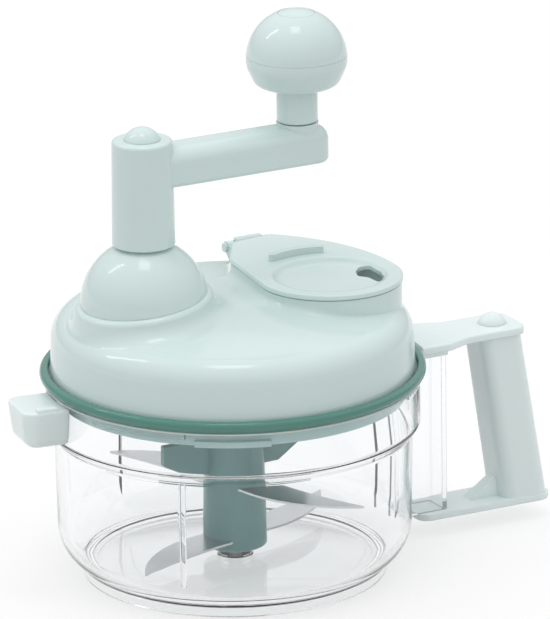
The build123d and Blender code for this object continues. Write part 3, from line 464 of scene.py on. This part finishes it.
# the feed cover: rings about the chute's axis, out along the underside, round the plan's edge, in
# over the top and down into the dish; then the drip slot is cut, the finger rib and hinge added
coverShape = {
    "under": [(10.0, 122.9), (20.6, 122.9), (21.6, 123.1), (24.9, 124.8)],  # radius and height
    "edge": [(0.3, 124.8), (0.0, 125.1), (0.0, 126.3), (0.2, 126.75), (0.7, 127.0), (1.1, 127.0)],  # inset and height
    "dish": [(25.5, 127.0), (25.0, 127.0), (24.4, 126.85), (23.8, 126.4), (23.0, 125.6), (22.2, 125.05),
             (21.0, 124.75), (19.0, 124.63), (12.0, 124.6), (6.0, 124.6)],  # radius and height
    "slot": [(57.0, -26.0, 0.9), (61.2, -22.3, 2.0), (63.5, -15.0, 6.0), (63.4, -5.5, 4.0), (60.3, -1.9, 2.2),
             (55.4, -7.5, 2.6), (53.5, -13.0, 1.5), (56.4, -17.0, 4.0)],
    "slotHeights": (120.0, 130.0),
    "rib": (30.0, 33.0, 69.0, 112.5),  # inner radius, outer radius, first and last angle
    "ribHeights": (126.4, 129.8),
    "tongue": [(30.3, 48.0, 0), (42.7, 48.0, 0), (42.7, 55.6, 0.6), (30.3, 55.6, 0.6)],
    "tongueHeights": (124.9, 126.9),
    "barrel": [(0, 30.3, 0), (2.6, 30.3, 0.2), (2.6, 42.7, 0.2), (0, 42.7, 0)],  # radius and place along x
    "hinge": (55.0, 123.2),  # y and z of the barrel's axis
}
centre = np.array(tower["centre"])
rim = evenly(roundedOutline(towerCorners, steps=10), 480)
rimSide = rightOf(unit(np.roll(rim, -1, axis=0) - rim) + unit(rim - np.roll(rim, 1, axis=0)))
spoke = unit(rim - centre)
rings = [level(centre + spoke * radius, height) for radius, height in coverShape["under"]]
rings += [level(rim - rimSide * inset, height) for inset, height in coverShape["edge"]]
rings += [level(centre + spoke * radius, height) for radius, height in coverShape["dish"]]
bottom, floorOfDish = coverShape["under"][0][1], coverShape["dish"][-1][1]
feedCover = looseObject("feedCover", *closedRings(np.stack(rings, 1), (*centre, bottom), (*centre, floorOfDish)))
slot = prismMesh(roundedOutline(coverShape["slot"]), *coverShape["slotHeights"])
combine(feedCover, looseObject("slot", *slot), "DIFFERENCE")
addPrism(feedCover, "rib", bentBand(*coverShape["rib"]) + centre, coverShape["ribHeights"])
addPrism(feedCover, "tongue", roundedOutline(coverShape["tongue"]), coverShape["tongueHeights"])
barrel, barrelFaces = latheMesh(roundedOutline(coverShape["barrel"]), 40)
hingeY, hingeZ = coverShape["hinge"]
barrel = np.column_stack([barrel[:, 2], barrel[:, 0] + hingeY, barrel[:, 1] + hingeZ])
combine(feedCover, looseObject("barrel", barrel, barrelFaces))
dress(feedCover.data, mint)
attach(feedCover, "cover")
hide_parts("feed_cover")
print("stage: feed cover", len(feedCover.data.polygons))

# the floor: a plain pale plane in the light it sends back; where it is seen, part of its white is
# its own light, so the object's shadow stays soft
floorLook = {"half": 4.0, "lit": 0.66, "seen": 0.32, "glow": 0.68}
edge = floorLook["half"]
floorMesh = bpy.data.meshes.new("floor")
floorMesh.from_pydata([(-edge, -edge, 0), (edge, -edge, 0), (edge, edge, 0), (-edge, edge, 0)], [], [(0, 1, 2, 3)])
floor = bpy.data.objects.new("floor", floorMesh)
scene.collection.objects.link(floor)
floorMaterial, tree = newMaterial("floorPlain")
path = tree.add("ShaderNodeLightPath").outputs
seen = tree.higher(tree.higher(path["Is Camera Ray"], path["Is Glossy Ray"]), path["Is Transmission Ray"])
plain = tree.add("ShaderNodeBsdfDiffuse", {"Color": grey(floorLook["lit"])})
seenPlain = tree.add("ShaderNodeBsdfDiffuse", {"Color": grey(floorLook["seen"])})
bright = tree.add("ShaderNodeEmission", {"Color": grey(1.0), "Strength": floorLook["glow"]})
plus = tree.add("ShaderNodeAddShader", {0: seenPlain.outputs["BSDF"], 1: bright.outputs["Emission"]})
pick = tree.add("ShaderNodeMixShader", {0: seen, 1: plain.outputs["BSDF"], 2: plus.outputs["Shader"]})
tree.add("ShaderNodeOutputMaterial", {"Surface": pick.outputs["Shader"]})
floorMesh.materials.append(floorMaterial)

# the sky: brighter overhead than at the horizon where it lights the object, and an even white
# where it is seen
skyLook = {"horizon": 0.42, "overhead": 1.25, "seen": 1.0}
world = bpy.data.worlds.new("studio")
world.use_nodes = True
scene.world = world
tree = Tree(world.node_tree)
path = tree.add("ShaderNodeLightPath").outputs
where = tree.add("ShaderNodeTexCoord")
split = tree.add("ShaderNodeSeparateXYZ", {"Vector": where.outputs["Generated"]})
lift = tree.add("ShaderNodeMapRange", {"Value": split.outputs["Z"], "From Min": 0.0, "From Max": 1.0,
                                       "To Min": skyLook["horizon"], "To Max": skyLook["overhead"]})
strength = tree.add("ShaderNodeMix", data_type="FLOAT")
tree.put(strength.inputs[0], tree.higher(path["Is Camera Ray"], path["Is Transmission Ray"]))
tree.put(strength.inputs[2], lift.outputs["Result"])
tree.put(strength.inputs[3], skyLook["seen"])
sky = tree.add("ShaderNodeBackground", {"Color": grey(1.0), "Strength": strength.outputs[0]})
tree.add("ShaderNodeOutputWorld", {"Surface": sky.outputs["Background"]})

# two soft lamps, aimed at the bowl: place and size in metres, power in watts
lamps = {"keyLamp": {"place": (-0.1, -0.15, 1.7), "size": (0.45, 0.45), "power": 2.2},
         "stripLamp": {"place": (-0.75, 0.6, 1.2), "size": (0.1, 0.6), "power": 1.5}}
lampTarget = Vector((0, 0, 0.1))
for name, look in lamps.items():
    lamp = bpy.data.lights.new(name, "AREA")
    lamp.shape = "RECTANGLE"
    lamp.size, lamp.size_y = look["size"]
    lamp.energy = look["power"]
    lampHolder = bpy.data.objects.new(name, lamp)
    lampHolder.location = look["place"]
    lampHolder.rotation_euler = (lampTarget - Vector(look["place"])).to_track_quat("-Z", "Y").to_euler()
    scene.collection.objects.link(lampHolder)
print("stage: floor and light")

# the camera: a long lens, round to the left of the front and looking a little down; `focal` is
# its focal length in pixels of the photograph, whose longer side is `imageHeight`
view = {"heading": 28.0, "pitch": 17.741, "roll": -0.7, "distance": 3.6, "focus": (0.01602, -0.00852, 0.11452),
        "focal": 8539.3, "imageHeight": 619, "sensor": 36.0, "clip": 50.0}
heading, pitch, roll = (math.radians(view[angle]) for angle in ("heading", "pitch", "roll"))
back = Vector((-math.sin(heading) * math.cos(pitch), -math.cos(heading) * math.cos(pitch), math.sin(pitch)))
camera = bpy.data.cameras.new("camera")
camera.sensor_width = view["sensor"]
camera.lens = view["focal"] / view["imageHeight"] * view["sensor"]
camera.clip_end = view["clip"]
cameraHolder = bpy.data.objects.new("camera", camera)
turn = back.to_track_quat("Z", "Y").to_matrix().to_4x4() @ Matrix.Rotation(roll, 4, "Z")
cameraHolder.matrix_world = Matrix.Translation(Vector(view["focus"]) + back * view["distance"]) @ turn
scene.collection.objects.link(cameraHolder)
scene.camera = cameraHolder
scene.view_settings.view_transform = "Standard"
print("stage: camera")
